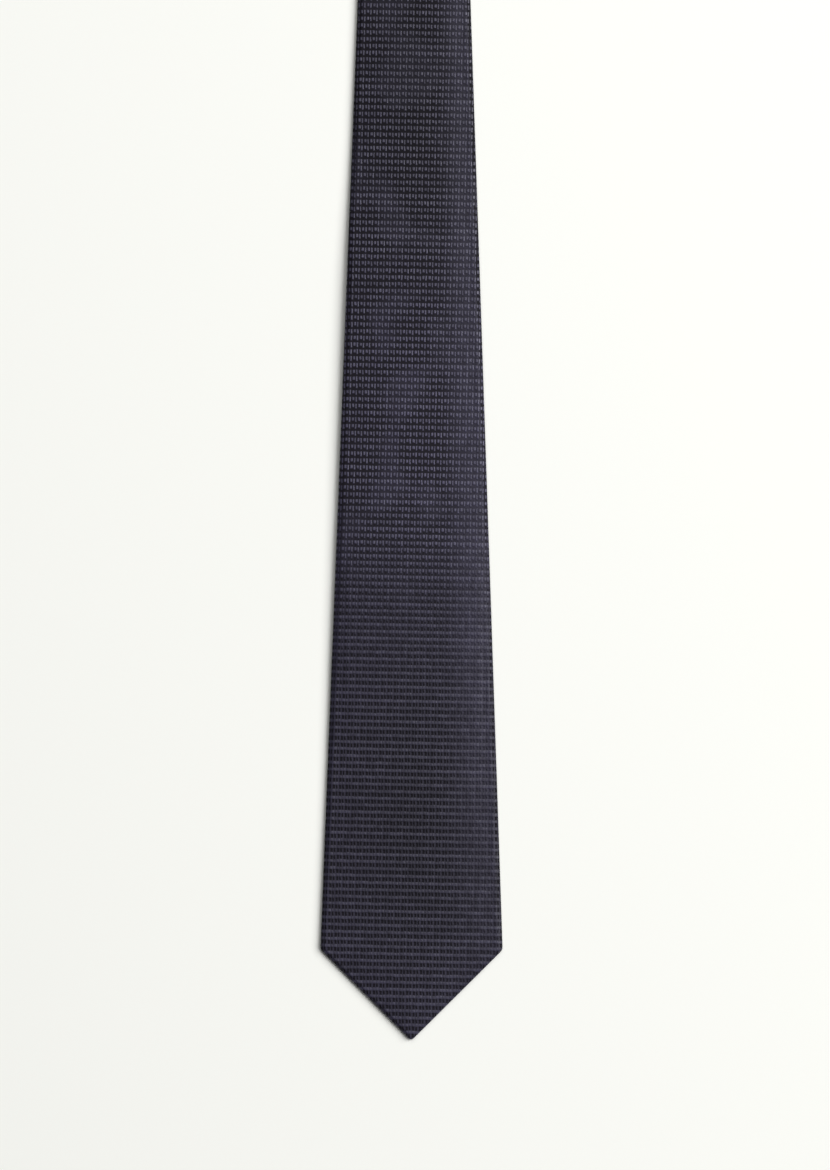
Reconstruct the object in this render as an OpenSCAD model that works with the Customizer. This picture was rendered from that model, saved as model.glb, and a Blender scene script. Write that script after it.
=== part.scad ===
// A necktie laid out straight, front up: Y runs along the tie from the blade's point (-Y) to the
// tail's point (+Y), and z = 0 is the surface that the back of the tie rests on.
// Distances called s are measured along the tie from the blade's point.

/* [Outline] */
// Length from the blade's point to the tail's point
tie_len = 1480; // [1420:10:1600]
// Width across the blade's shoulders
blade_w = 70; // [64:1:80]
// Width across the tail's shoulders
tail_w = 38; // [34:1:42]
// Width at the back of the neck
neck_w = 28.5; // [27:0.5:32]
// Length over which the blade narrows from its shoulders to the neck
blade_run = 566; // [520:1:600]
// Length over which the tail narrows from its shoulders to the neck
tail_run = 500; // [420:1:520]
// Length over which each taper eases into the neck
ease_len = 40; // [20:1:50]
// Half-width of the blunt end of each point
point_blunt = 0.6; // [0.4:0.1:1.2]

/* [Layers] */
// Thickness of the whole folded tie
tie_t = 3.4; // [3:0.1:4.5]
// Thickness of the patterned cloth
cloth_t = 0.5; // [0.4:0.05:0.6]
// Thickness of the lining that tips each end
tipping_t = 0.3; // [0.2:0.05:0.4]
// Thickness of a sewing thread
thread_t = 0.2; // [0.1:0.05:0.25]
// How far each back flap reaches past the centre line
flap_lap = 5; // [4:0.5:7]

/* [Ends] */
// Width of the turned hem along the blade's point
blade_hem = 8; // [6:0.5:10]
// Width of the turned hem along the tail's point
tail_hem = 6; // [4:0.5:7]
// Distance from the blade's point to where the back seam starts
blade_apex = 112; // [100:1:120]
// Distance from the tail's point to where the back seam ends
tail_apex = 66; // [55:1:75]
// How far the tipping is tucked under the cloth around it
tuck = 3; // [2:0.5:3]

/* [Panels] */
// Distance from the blade's point to the seam between blade and neck panels
blade_seam_s = 650; // [600:5:690]
// Distance from the blade's point to the seam between neck and tail panels
tail_seam_s = 930; // [800:5:1000]

/* [Loop and labels] */
// How far the keeper loop and label hold the blade's back off the surface
lift_h = 1.2; // [1.2:0.1:1.6]
// Distance from the blade's point to the middle of the keeper loop
loop_s = 242; // [238:1:246]
// Width of the keeper loop's band along the tie
loop_w = 12; // [10:1:14]
// Length of the keeper loop across the tie
loop_len = 40; // [34:1:44]
// Distance from the blade's point to the near edge of the blank label
label_s = 256; // [254:1:260]
// Size of the blank label across and along the tie
label_size = [48, 24]; // [20:1:50]
// Distance from the blade's point to the sewn edge of the care label
care_s = 232; // [228:1:234]
// Size of the care label across and along the tie
care_size = [20, 28]; // [10:1:30]

/* [Fold] */
// Length of the neck cloth that bends when the tie is folded in half
fold_len = 8.2; // [8:0.1:9]

/* [Hidden] */

root2 = sqrt(2);
mid_y = tie_len / 2;
fold_from = mid_y - fold_len / 2;
fold_to = mid_y + fold_len / 2;
station = 60;          // spacing of the straight pieces that the tapered sides are made of
slit_run = 13;         // how far the slit beside the outer flap runs on into each opening
beyond = 40;           // how far a panel is built past its bias seam before it is cut
wide = 60;             // half-width of a cutting shape, past the widest part
front_z = tie_t - cloth_t;
lap_z = cloth_t + thread_t;      // underside of the inner flap where the flaps overlap
core_z = lap_z + cloth_t;        // top of the inner flap
core_top = front_z - thread_t;   // top of the interlining
core_gap = 0.1;                  // room between the interlining and the cloth's rolled edges
tack_lift = 0.35;                // how far a bar tack holds the back off the surface
label_t = 0.3;
care_drop = 0.25;                // the care label hangs this far under the back
stitch_w = 0.3;
navy = "#33323c";
lining = "#3a3a48";
wool = "#cfc9b8";
thread_navy = "#2a2a34";
label_blue = "#4a4a58";
satin_white = "#d8d6cf";

// Height of the tie's back above the surface at each distance s.
LIFT = [
    [-20, 0], [80, 0], [blade_apex, tack_lift], [200, lift_h], [284, lift_h], [350, 0],
    [tie_len - tail_apex - 30, 0], [tie_len - tail_apex - 8, tack_lift],
    [tie_len - tail_apex + 8, tack_lift], [tie_len - tail_apex + 30, 0], [tie_len + 20, 0]
];

function taper(d, run, rise) = rise / run * ease_len * ln(1 + exp((run - d) / ease_len));
function width(s) = neck_w
    + taper(s - blade_w / 2, blade_run, blade_w - neck_w)
    + taper(tie_len - s - tail_w / 2, tail_run, tail_w - neck_w);
// Half-width at s, inset all round by a wall thickness. The points are right angles.
function half(s, inset) = min(
    s + point_blunt - inset * root2,
    tie_len - s + point_blunt - inset * root2,
    width(s) / 2 - inset
);
function corner(w, inset) = w / 2 - point_blunt + (root2 - 1) * inset;
function keys(inset) = concat(
    [corner(blade_w, inset)],
    [for (s = [station : station : tie_len - station]) s],
    [tie_len - corner(tail_w, inset)]
);
function stations(from, to, inset) = concat(
    [from], [for (s = keys(inset)) if (s > from + 1 && s < to - 1) s], [to]
);
function lift(s) = lookup(s, LIFT);
// The opening between the hem of a point and the V of the back flaps, from the point's end.
function kite(hem, side, apex) = [
    [0, hem * root2 - point_blunt],
    [side, side - point_blunt + hem * root2],
    [0, apex],
    [-side, side - point_blunt + hem * root2]
];

// Plan of the tie between two distances, as a flat shape in x and s.
module outline(from, to, inset = 0) {
    st = stations(max(from, inset * root2), min(to, tie_len - inset * root2), inset);
    right = [for (s = st) [half(s, inset), s]];
    left = [for (i = [len(st) - 1 : -1 : 0]) [-half(st[i], inset), st[i]]];
    polygon(concat(right, left));
}

// Side view of one layer, between two heights above the tie's back, as a slab across the tie.
module ribbon(low, high) {
    under = [for (p = LIFT) [p[0], p[1] + low]];
    over = [for (i = [len(LIFT) - 1 : -1 : 0]) [LIFT[i][0], LIFT[i][1] + high]];
    rotate([90, 0, 90]) linear_extrude(2 * wide, center = true) polygon(concat(under, over));
}

// Any flat shape in x and s made into the layer between two heights, in the tie's own frame.
module layer(low, high) {
    translate([0, -mid_y, 0]) intersection() {
        translate([0, 0, -3]) linear_extrude(12) children();
        ribbon(low, high);
    }
}

module blade_kite(grow) {
    polygon(kite(blade_hem - grow, blade_w / 2 - blade_hem / 2 + grow * 0.8, blade_apex + 2 * grow));
}

module tail_kite(grow) {
    translate([0, tie_len]) mirror([0, 1])
        polygon(kite(tail_hem - grow, tail_w / 2 - tail_hem / 2 + grow * 0.8, tail_apex + 2 * grow));
}

// A strip along the tie between two distances and two offsets from its centre line.
module strip(from, to, x0, x1) {
    translate([x0, from]) square([x1 - x0, to - from]);
}

// Cloth folded round the interlining: front, rolled edges, and two flaps lapped at the centre back.
module folded_cloth(from, to) {
    past_tipping = 2 * tuck + 0.5;
    seam_from = max(from, blade_apex + past_tipping);
    seam_to = min(to, tie_len - tail_apex - past_tipping);
    slit_from = max(from - 1, blade_apex - slit_run);
    slit_to = min(to + 1, tie_len - tail_apex + slit_run);
    difference() {
        layer(0, tie_t) outline(from, to);
        layer(cloth_t, front_z) outline(from - beyond, to + beyond, cloth_t);
        layer(-1, lap_z) strip(slit_from, slit_to, -flap_lap - cloth_t, -flap_lap);
        if (from < blade_apex) layer(-1, lap_z) blade_kite(0);
        if (to > tie_len - tail_apex) layer(-1, lap_z) tail_kite(0);
    }
    layer(lap_z, core_z) strip(seam_from, seam_to, -flap_lap - 2 * cloth_t, flap_lap);
    layer(cloth_t, lap_z) strip(seam_from, seam_to, -flap_lap - 2 * cloth_t, -flap_lap - cloth_t);
}

// Everything between two lines across the tie, each square to it or on the bias.
module panel_cut(from, to, bias_from, bias_to) {
    translate([0, -mid_y, -5]) linear_extrude(20) polygon([
        [-wide, from - wide * bias_from], [wide, from + wide * bias_from],
        [wide, to + wide * bias_to], [-wide, to - wide * bias_to]
    ]);
}

module interlining(from, to) {
    inset = cloth_t + core_gap;
    difference() {
        layer(cloth_t, core_top) outline(from, to, inset);
        layer(-1, core_z) strip(from - 1, to + 1, -flap_lap - 2 * cloth_t - core_gap, flap_lap + core_gap);
        if (from < blade_apex) layer(-1, cloth_t + tipping_t + thread_t) blade_kite(tuck + 1);
        if (to > tie_len - tail_apex) layer(-1, cloth_t + tipping_t + thread_t) tail_kite(tuck + 1);
    }
}

// Machine stitches along the two sides of a point, a little inside its hem.
module point_stitches(hem, length) {
    pitch = 4;
    for (side = [-1, 1]) for (i = [1 : floor(length / pitch)]) {
        d = i * pitch;
        translate([side * d / root2, hem * root2 + d / root2]) rotate(45 * side)
            square([pitch * 0.7, stitch_w], center = true);
    }
}

// Machine stitches across the tie on the bias, at the seam between two panels.
module bias_stitches(s) {
    pitch = 3;
    reach = (width(s) / 2 - 2) * root2;
    translate([0, s]) rotate(45)
        for (d = [-reach : pitch : reach - 1]) translate([d, -stitch_w / 2]) square([pitch * 0.7, stitch_w]);
}

// Long slip stitches that draw the lapped flaps together.
module slip_stitches(from, to) {
    pitch = 11;
    for (s = [from : pitch : to - pitch])
        translate([-flap_lap + 1.2, s]) square([stitch_w, pitch * 0.6]);
}

// A few turns of thread across the end of the back seam.
module bar_tack(s) {
    turns = 5;
    for (i = [0 : turns - 1]) translate([0, s + i * 1.1 * thread_t - mid_y, lift(s) - thread_t / 2 - 0.02])
        rotate([0, 90, 0]) cylinder(h = 8, d = thread_t, center = true, $fn = 24);
}

// A row of short stitches along x or y, standing between two heights.
module stitch_row(count, pitch, along_x, low, high) {
    size = along_x ? [pitch * 0.6, stitch_w, high - low] : [stitch_w, pitch * 0.6, high - low];
    for (i = [0 : count - 1]) {
        d = (i - (count - 1) / 2) * pitch;
        translate([along_x ? d : 0, along_x ? 0 : d, (low + high) / 2]) cube(size, center = true);
    }
}

module blade_shell() {
    color(navy) intersection() {
        folded_cloth(0, blade_seam_s + beyond);
        panel_cut(-beyond, blade_seam_s, 0, 1);
    }
}

module neck_shell_blade_side() {
    color(navy) intersection() {
        folded_cloth(blade_seam_s - beyond, fold_from);
        panel_cut(blade_seam_s, fold_from + 1, 1, 0);
    }
}

module neck_fold_cloth() {
    color(navy) folded_cloth(fold_from, fold_to);
}

module neck_shell_tail_side() {
    color(navy) intersection() {
        folded_cloth(fold_to, tail_seam_s + beyond);
        panel_cut(fold_to - 1, tail_seam_s, 0, 1);
    }
}

module tail_shell() {
    color(navy) intersection() {
        folded_cloth(tail_seam_s - beyond, tie_len);
        panel_cut(tail_seam_s, tie_len + beyond, 1, 0);
    }
}

module interlining_blade() {
    color(wool) interlining(0, fold_from);
}

module interlining_neck_fold() {
    color(wool) interlining(fold_from, fold_to);
}

module interlining_tail() {
    color(wool) interlining(fold_to, tie_len);
}

module blade_tipping() {
    color(lining) layer(cloth_t, cloth_t + tipping_t) blade_kite(tuck);
}

module tail_tipping() {
    color(lining) layer(cloth_t, cloth_t + tipping_t) tail_kite(tuck);
}

module blade_tip_seam_thread() {
    low = cloth_t + tipping_t;
    color(thread_navy) layer(low, low + thread_t) point_stitches(blade_hem - 1, 40);
}

module tail_tip_seam_thread() {
    low = cloth_t + tipping_t;
    color(thread_navy) layer(low, low + thread_t)
        translate([0, tie_len]) mirror([0, 1]) point_stitches(tail_hem - 1, 20);
}

module blade_join_seam_thread() {
    color(thread_navy) layer(core_top, front_z) bias_stitches(blade_seam_s);
}

module tail_join_seam_thread() {
    color(thread_navy) layer(core_top, front_z) bias_stitches(tail_seam_s);
}

module slip_stitch_blade() {
    color(thread_navy) layer(cloth_t, lap_z) slip_stitches(blade_apex + 2 * tuck + 1, fold_from);
}

module slip_stitch_tail() {
    color(thread_navy) layer(cloth_t, lap_z) slip_stitches(fold_to + 4, tie_len - tail_apex - 2 * tuck);
}

module blade_bar_tack() {
    color(thread_navy) bar_tack(blade_apex + 1);
}

module tail_bar_tack() {
    color(thread_navy) bar_tack(tie_len - tail_apex - 2);
}

// The end of the slip-stitch thread, left as a small loop so that the seam can give.
module slack_thread_loop() {
    color(thread_navy) translate([1.5, blade_apex - 9 - mid_y, lift(blade_apex - 9) + 0.2])
        rotate_extrude($fn = 48) translate([2.2, 0]) circle(d = thread_t, $fn = 16);
}

// A flat band across the back that the tail slips through, folded up and under at both ends.
module keeper_loop() {
    gap = 0.7;
    tab = 6;
    color(navy) translate([0, loop_s - loop_w / 2 - mid_y, lift_h]) {
        translate([-loop_len / 2, 0, -gap - cloth_t + 0.05]) cube([loop_len, loop_w, cloth_t - 0.05]);
        for (side = [0, 1]) mirror([side, 0, 0]) {
            translate([loop_len / 2 - cloth_t, 0, -gap - cloth_t + 0.05])
                cube([cloth_t, loop_w, gap + cloth_t - 0.05]);
            translate([loop_len / 2 - tab, 0, -cloth_t / 2]) cube([tab, loop_w, cloth_t / 2]);
        }
    }
}

module keeper_loop_tacks() {
    count = 5;
    color(thread_navy) for (side = [-1, 1]) for (i = [0 : count - 1])
        translate([side * (loop_len / 2 + thread_t / 2), loop_s + (i - 2) * 2.2 - mid_y, 0.2])
            cylinder(h = lift_h - 0.2, d = thread_t, $fn = 16);
}

module blank_label() {
    color(label_blue) translate([-label_size[0] / 2, label_s - mid_y, lift_h - label_t])
        cube([label_size[0], label_size[1], label_t]);
}

module label_stitches() {
    color(thread_navy) for (side = [-1, 1])
        translate([side * (label_size[0] / 2 - 1), label_s + label_size[1] / 2 - mid_y, 0])
            stitch_row(9, 2.4, false, lift_h - label_t - 0.15, lift_h - label_t);
}

module care_label() {
    color(satin_white) translate([-care_size[0] / 2, care_s - care_size[1] - mid_y, lift_h - care_drop - label_t])
        cube([care_size[0], care_size[1], label_t]);
}

module care_label_stitches() {
    color(thread_navy) translate([0, care_s - 1.5 - mid_y, 0])
        stitch_row(7, 2.6, true, lift_h - care_drop, lift_h);
}

blade_shell();
neck_shell_blade_side();
neck_fold_cloth();
neck_shell_tail_side();
tail_shell();
interlining_blade();
interlining_neck_fold();
interlining_tail();
blade_tipping();
tail_tipping();
blade_tip_seam_thread();
tail_tip_seam_thread();
blade_join_seam_thread();
tail_join_seam_thread();
slip_stitch_blade();
slip_stitch_tail();
blade_bar_tack();
tail_bar_tack();
slack_thread_loop();
keeper_loop();
keeper_loop_tacks();
blank_label();
label_stitches();
care_label();
care_label_stitches();
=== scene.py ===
"""A dark navy necktie of waffle-weave silk, laid out straight with its front up.

Y runs along the tie, from the blade's point at -Y to the tail's point at +Y, and z = 0 is the surface that
it lies on. Lengths are in metres. The distance s is measured along the tie from the blade's point.
"""
from __future__ import annotations

import logging
from dataclasses import dataclass, field
from enum import Enum

import bpy
import bmesh
import numpy as np
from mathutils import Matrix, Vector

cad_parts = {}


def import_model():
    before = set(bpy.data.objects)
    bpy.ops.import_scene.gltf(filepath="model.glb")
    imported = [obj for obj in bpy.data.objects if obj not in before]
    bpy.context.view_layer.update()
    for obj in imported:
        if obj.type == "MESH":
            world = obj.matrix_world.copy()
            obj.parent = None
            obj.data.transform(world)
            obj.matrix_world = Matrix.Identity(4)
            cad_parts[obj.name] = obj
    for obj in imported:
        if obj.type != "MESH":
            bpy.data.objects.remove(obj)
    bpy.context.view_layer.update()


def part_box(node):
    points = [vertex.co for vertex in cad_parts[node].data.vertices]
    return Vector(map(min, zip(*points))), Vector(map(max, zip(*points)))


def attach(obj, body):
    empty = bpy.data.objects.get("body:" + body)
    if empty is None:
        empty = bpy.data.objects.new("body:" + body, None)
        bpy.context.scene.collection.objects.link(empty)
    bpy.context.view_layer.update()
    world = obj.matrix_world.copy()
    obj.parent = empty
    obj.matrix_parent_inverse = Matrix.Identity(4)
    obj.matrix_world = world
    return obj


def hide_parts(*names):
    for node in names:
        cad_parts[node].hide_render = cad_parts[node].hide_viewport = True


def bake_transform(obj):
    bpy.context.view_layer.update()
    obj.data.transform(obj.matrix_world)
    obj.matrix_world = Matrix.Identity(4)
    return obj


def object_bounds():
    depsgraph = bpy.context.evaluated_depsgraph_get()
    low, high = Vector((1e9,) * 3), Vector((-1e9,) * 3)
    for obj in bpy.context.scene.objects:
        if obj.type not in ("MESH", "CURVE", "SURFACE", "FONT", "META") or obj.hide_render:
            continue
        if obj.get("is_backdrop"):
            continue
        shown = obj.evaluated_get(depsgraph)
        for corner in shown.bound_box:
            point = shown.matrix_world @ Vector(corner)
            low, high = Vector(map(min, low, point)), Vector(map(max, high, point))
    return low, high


Array = np.ndarray
Material = bpy.types.Material
Piece = bpy.types.Object
Socket = bpy.types.NodeSocket

LOG = logging.getLogger("necktie")
MM = 0.001
ROOT2 = float(np.sqrt(2.0))


class End(Enum):
    """The two ends of the tie."""

    BLADE = "blade"
    TAIL = "tail"


# ---------------------------------------------------------------- small tools


def smooth(t: Array) -> Array:
    """Returns 3t^2 - 2t^3 of t held between 0 and 1: an ease from 0 to 1."""
    t = np.clip(t, 0.0, 1.0)
    return t * t * (3.0 - 2.0 * t)


def linear(code: str) -> tuple[float, float, float, float]:
    """Turns an sRGB hex colour into linear light.

    Args:
        code: Six hex digits, such as "33323c".

    Returns:
        Red, green, blue and an alpha of 1.
    """
    srgb = [int(code[i : i + 2], 16) / 255 for i in (0, 2, 4)]
    rgb = [c / 12.92 if c <= 0.04045 else ((c + 0.055) / 1.055) ** 2.4 for c in srgb]
    return (rgb[0], rgb[1], rgb[2], 1.0)


def steps(*spans: tuple[float, float, float]) -> Array:
    """Joins runs of evenly spaced stations.

    Args:
        spans: (from, to, spacing) of each run, each starting where the last ended.

    Returns:
        The stations in order, with no station twice.
    """
    runs = [np.linspace(a, b, max(2, int(np.ceil(abs(b - a) / d)) + 1)) for a, b, d in spans]
    return np.concatenate([runs[0]] + [run[1:] for run in runs[1:]])


def grid_mesh(name: str, xyz: Array, maps: dict[str, Array] | None = None, around: bool = False
              ) -> Piece:
    """Makes a mesh of quads from a grid of points, merging rows that close to a point.

    Args:
        name: The piece's name.
        xyz: Points, shaped (rows, columns, 3).
        maps: Named coordinates for the materials, each shaped (rows, columns, 2).
        around: Whether the last column joins the first.

    Returns:
        The new object, at the origin.
    """
    rows, cols = xyz.shape[:2]
    across = cols if around else cols - 1
    r, c = np.meshgrid(np.arange(rows - 1), np.arange(across), indexing="ij")
    nxt = (c + 1) % cols
    quads = np.stack([r * cols + c, r * cols + nxt, (r + 1) * cols + nxt, (r + 1) * cols + c], axis=-1)
    mesh = bpy.data.meshes.new(name)
    mesh.from_pydata(xyz.reshape(-1, 3), [], quads.reshape(-1, 4).tolist())
    for title, values in (maps or {}).items():
        layer = mesh.uv_layers.new(name=title)
        layer.data.foreach_set("uv", values.reshape(-1, 2)[quads.reshape(-1)].astype(np.float32).ravel())
    return finish_mesh(name, mesh)


def finish_mesh(name: str, mesh: bpy.types.Mesh) -> Piece:
    """Closes poles, smooths the faces and links the mesh as an object of that name."""
    work = bmesh.new()
    work.from_mesh(mesh)
    bmesh.ops.remove_doubles(work, verts=work.verts, dist=1e-7)
    bmesh.ops.dissolve_degenerate(work, edges=work.edges, dist=1e-8)
    for face in work.faces:
        face.smooth = True
    work.to_mesh(mesh)
    work.free()
    piece = bpy.data.objects.new(name, mesh)
    bpy.context.collection.objects.link(piece)
    return piece


def face_area(piece: Piece) -> float:
    """Returns the area of all of a mesh's faces."""
    area = np.empty(len(piece.data.polygons))
    piece.data.polygons.foreach_get("area", area)
    return float(area.sum())


def outward(piece: Piece) -> Piece:
    """Turns the faces of a closed mesh outwards."""
    work = bmesh.new()
    work.from_mesh(piece.data)
    bmesh.ops.recalc_face_normals(work, faces=work.faces)
    work.to_mesh(piece.data)
    work.free()
    return piece


def thicken(piece: Piece, thickness: float) -> Piece:
    """Gives a sheet its thickness, half to each side."""
    wall = piece.modifiers.new("cloth thickness", "SOLIDIFY")
    wall.thickness = thickness
    wall.offset = 0.0
    wall.use_even_offset = True
    return piece


def points(*parts: Array) -> Array:
    """Returns places, or map coordinates, from arrays of their parts."""
    return np.stack(parts, axis=-1)


def mirrored(flap: Array, arc: Array, face: Array, sign: float = -1.0) -> Array:
    """Joins the five runs of a folded band: a left flap and arc, the face, and the first two again in reverse.

    Args:
        flap: Values of the flap, from its free edge outwards, as on the right.
        arc: Values of the arc, from the flap to the face.
        face: Values of the face, from left to right.
        sign: What the left flap and arc are multiplied by.

    Returns:
        The values of the whole row.
    """
    side = np.concatenate([flap, arc])
    return np.concatenate([sign * side, face, side[::-1]])


def both_sides(values: Array) -> tuple[Array, Array]:
    """Returns -1 for each value and then 1 for each, and the values twice."""
    return np.repeat([-1.0, 1.0], len(values)), np.concatenate([values, values])


def circle(count: int) -> Array:
    """Returns that many angles, evenly round a full turn."""
    return np.linspace(0, 2 * np.pi, count, endpoint=False)


def squarer(wave: Array, power: float) -> Array:
    """Returns sign(w) * |w|^power, which squares up a circle's cosine or sine."""
    return np.sign(wave) * np.abs(wave) ** power


def unit(rows: Array) -> Array:
    """Returns rows of vectors, each brought to length 1."""
    return rows / np.linalg.norm(rows, axis=1, keepdims=True)


# ---------------------------------------------------------------- the shape of the tie


@dataclass(frozen=True)
class Lay:
    """The tie's own sizes and the formulas that every piece is laid out by."""

    length: float
    blade_w: float
    tail_w: float
    neck_w: float
    thick: float
    lift_h: float
    cloth: float = 0.45 * MM
    lap: float = 5 * MM
    blunt: float = 0.6 * MM
    ease: float = 40 * MM
    blade_run: float = 566 * MM
    tail_run: float = 500 * MM
    blade_hem: float = 8 * MM
    tail_hem: float = 6 * MM
    blade_apex: float = 112 * MM
    tail_apex: float = 66 * MM
    tuck: float = 3 * MM
    crown: float = 0.9 * MM
    roll: float = 1.5 * MM

    @classmethod
    def from_frame(cls) -> "Lay":
        """Reads the driving sizes off the frame's nodes."""
        low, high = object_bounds()
        blade_low, blade_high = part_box("blade_shell")
        tail_low, tail_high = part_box("tail_shell")
        neck_low, neck_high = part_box("neck_fold_cloth")
        thick = neck_high[2] - neck_low[2]
        return cls(
            length=high[1] - low[1],
            blade_w=blade_high[0] - blade_low[0],
            tail_w=tail_high[0] - tail_low[0],
            neck_w=neck_high[0] - neck_low[0] - 0.1 * MM,
            thick=thick,
            lift_h=blade_high[2] - blade_low[2] - thick,
        )

    def y(self, s: Array) -> Array:
        """Returns the place along Y of a distance s."""
        return s - self.length / 2

    def width(self, s: Array) -> Array:
        """Returns the full width: the neck plus two straight tapers, each easing into the neck.

        A taper is slope * ease * ln(1 + exp((run - d) / ease)), where d is the distance past the shoulder.
        """
        total = np.full_like(s, self.neck_w)
        for d, run, rise in (
            (s - self.blade_w / 2, self.blade_run, self.blade_w - self.neck_w),
            (self.length - s - self.tail_w / 2, self.tail_run, self.tail_w - self.neck_w),
        ):
            total = total + rise / run * self.ease * np.logaddexp(0.0, (run - d) / self.ease)
        return total

    def half(self, s: Array) -> Array:
        """Returns the half-width: the least of the side and the two right-angled points, softly joined.

        A point is a quarter circle of radius blunt / (sqrt(2) - 1) that runs on into a line at 45 degrees.
        """
        radius = self.blunt / (ROOT2 - 1)
        soft = 0.35 * MM

        def point(d: Array) -> Array:
            d = np.maximum(d, 0.0)
            arc = np.sqrt(np.maximum(2 * radius * d - d * d, 0.0))
            return np.where(d < radius * (1 - 1 / ROOT2), arc, d + self.blunt)

        side = self.width(s) / 2
        nearest = np.minimum(point(s), point(self.length - s))
        return np.where(nearest < side - 8 * soft, nearest, -soft * np.logaddexp(-nearest / soft, -side / soft))

    def lift(self, s: Array) -> Array:
        """Returns how far the back is held off the surface by what is sewn to it."""
        rise = smooth((s - 80 * MM) / (118 * MM)) * (1 - smooth((s - 284 * MM) / (68 * MM)))
        from_tail = self.length - s
        tack = smooth((from_tail - 36 * MM) / (22 * MM)) * (1 - smooth((from_tail - 74 * MM) / (22 * MM)))
        return self.lift_h * rise + 0.35 * MM * tack

    def sag(self, s: Array, x: Array) -> Array:
        """Returns how far the lifted sides droop outside what is sewn to the back."""
        return 0.45 * self.lift(s) * smooth((np.abs(x) - 24.5 * MM) / (5 * MM))

    def opening(self, s: Array, end: End, grow: float = 0.0) -> Array:
        """Returns the half-width of the kite between a point's hem and the V of the back flaps.

        It opens at 45 degrees from the hem's corner and closes in a straight line to the seam's apex, and it
        goes on below zero past the apex.
        """
        hem, apex, full = self.end_sizes(end)
        d = self.from_end(end, s)
        side = full / 2 - hem / 2 + grow * 0.8
        hem, apex = hem - grow, apex + 2 * grow
        corner = side - self.blunt + hem * ROOT2
        rising = d + self.blunt - hem * ROOT2
        falling = side * (apex - d) / (apex - corner)
        return np.minimum(rising, falling)

    def from_end(self, end: End, d: Array) -> Array:
        """Returns s at a distance d from an end. It turns s into d just as well."""
        return d if end is End.BLADE else self.length - d

    def end_sizes(self, end: End) -> tuple[float, float, float]:
        """Returns an end's hem width, the distance to its seam's apex, and its width."""
        if end is End.BLADE:
            return self.blade_hem, self.blade_apex, self.blade_w
        return self.tail_hem, self.tail_apex, self.tail_w

    def free_edge(self, s: Array) -> Array:
        """Returns how far the flaps stop short of the centre line: above 0 in the kites, -lap in between."""
        blade = self.opening(s, End.BLADE)
        tail = self.opening(s, End.TAIL)
        hem_line = 0.02 * MM
        at_blade = np.where(s < self.blade_apex - 1 * MM, np.maximum(blade, hem_line), blade)
        at_tail = np.where(self.length - s < self.tail_apex - 1 * MM, np.maximum(tail, hem_line), tail)
        return np.maximum(np.where(s < self.length / 2, at_blade, at_tail), -self.lap)

    def fill(self, s: Array) -> Array:
        """Returns how fully the front is domed: 0 at the points, rising to 1 at 45 mm from them."""
        at_end = np.minimum(s, self.length - s)
        return 1 - (1 - np.clip(at_end / (45 * MM), 0, 1)) ** 2.5

    def seam_zone(self, s: Array) -> Array:
        """Returns 1 where the back flaps are lapped and 0 at the points, easing over 18 mm."""
        run = 18 * MM
        start = smooth((s - self.blade_apex + run) / run)
        return start * smooth((self.length - self.tail_apex + run - s) / run)


@dataclass(frozen=True)
class Weave:
    """The waffle weave's repeat, which is a little larger at the blade's end."""

    across: float = 2.35 * MM
    along: float = 2.61 * MM
    across_gain: float = 0.20 * MM
    along_gain: float = 0.11 * MM
    gain_from: float = 250 * MM
    gain_run: float = 230 * MM
    turn: float = float(np.radians(1.1))

    def uv(self, u: Array, s: Array) -> Array:
        """Returns pattern coordinates in repeats.

        The first is the distance across the cloth over the repeat there, and the second is the sum along the
        cloth of ds over the repeat; the lattice is turned a little to the tie.

        Args:
            u: Distance across the cloth from its centre line, measured over its surface.
            s: Distance along the tie.

        Returns:
            An array with one more axis, of length 2.
        """
        table = np.linspace(-0.1, 1.7, 3601)
        gain = smooth((self.gain_from - table) / self.gain_run)
        count = np.concatenate([[0.0], np.cumsum(np.diff(table) / (self.along + self.along_gain * gain[1:]))])
        here = smooth((self.gain_from - s) / self.gain_run)
        slope = np.tan(self.turn)
        columns = (u - s * slope) / (self.across + self.across_gain * here)
        rows = np.interp(s, table, count) + u * slope / (self.along + self.along_gain * here)
        return points(columns, rows)

    def row_at(self, s: float) -> float:
        """Returns the row coordinate on the centre line at a distance s."""
        return float(self.uv(np.array(0.0), np.array(s))[1])


# ---------------------------------------------------------------- finishes


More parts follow.
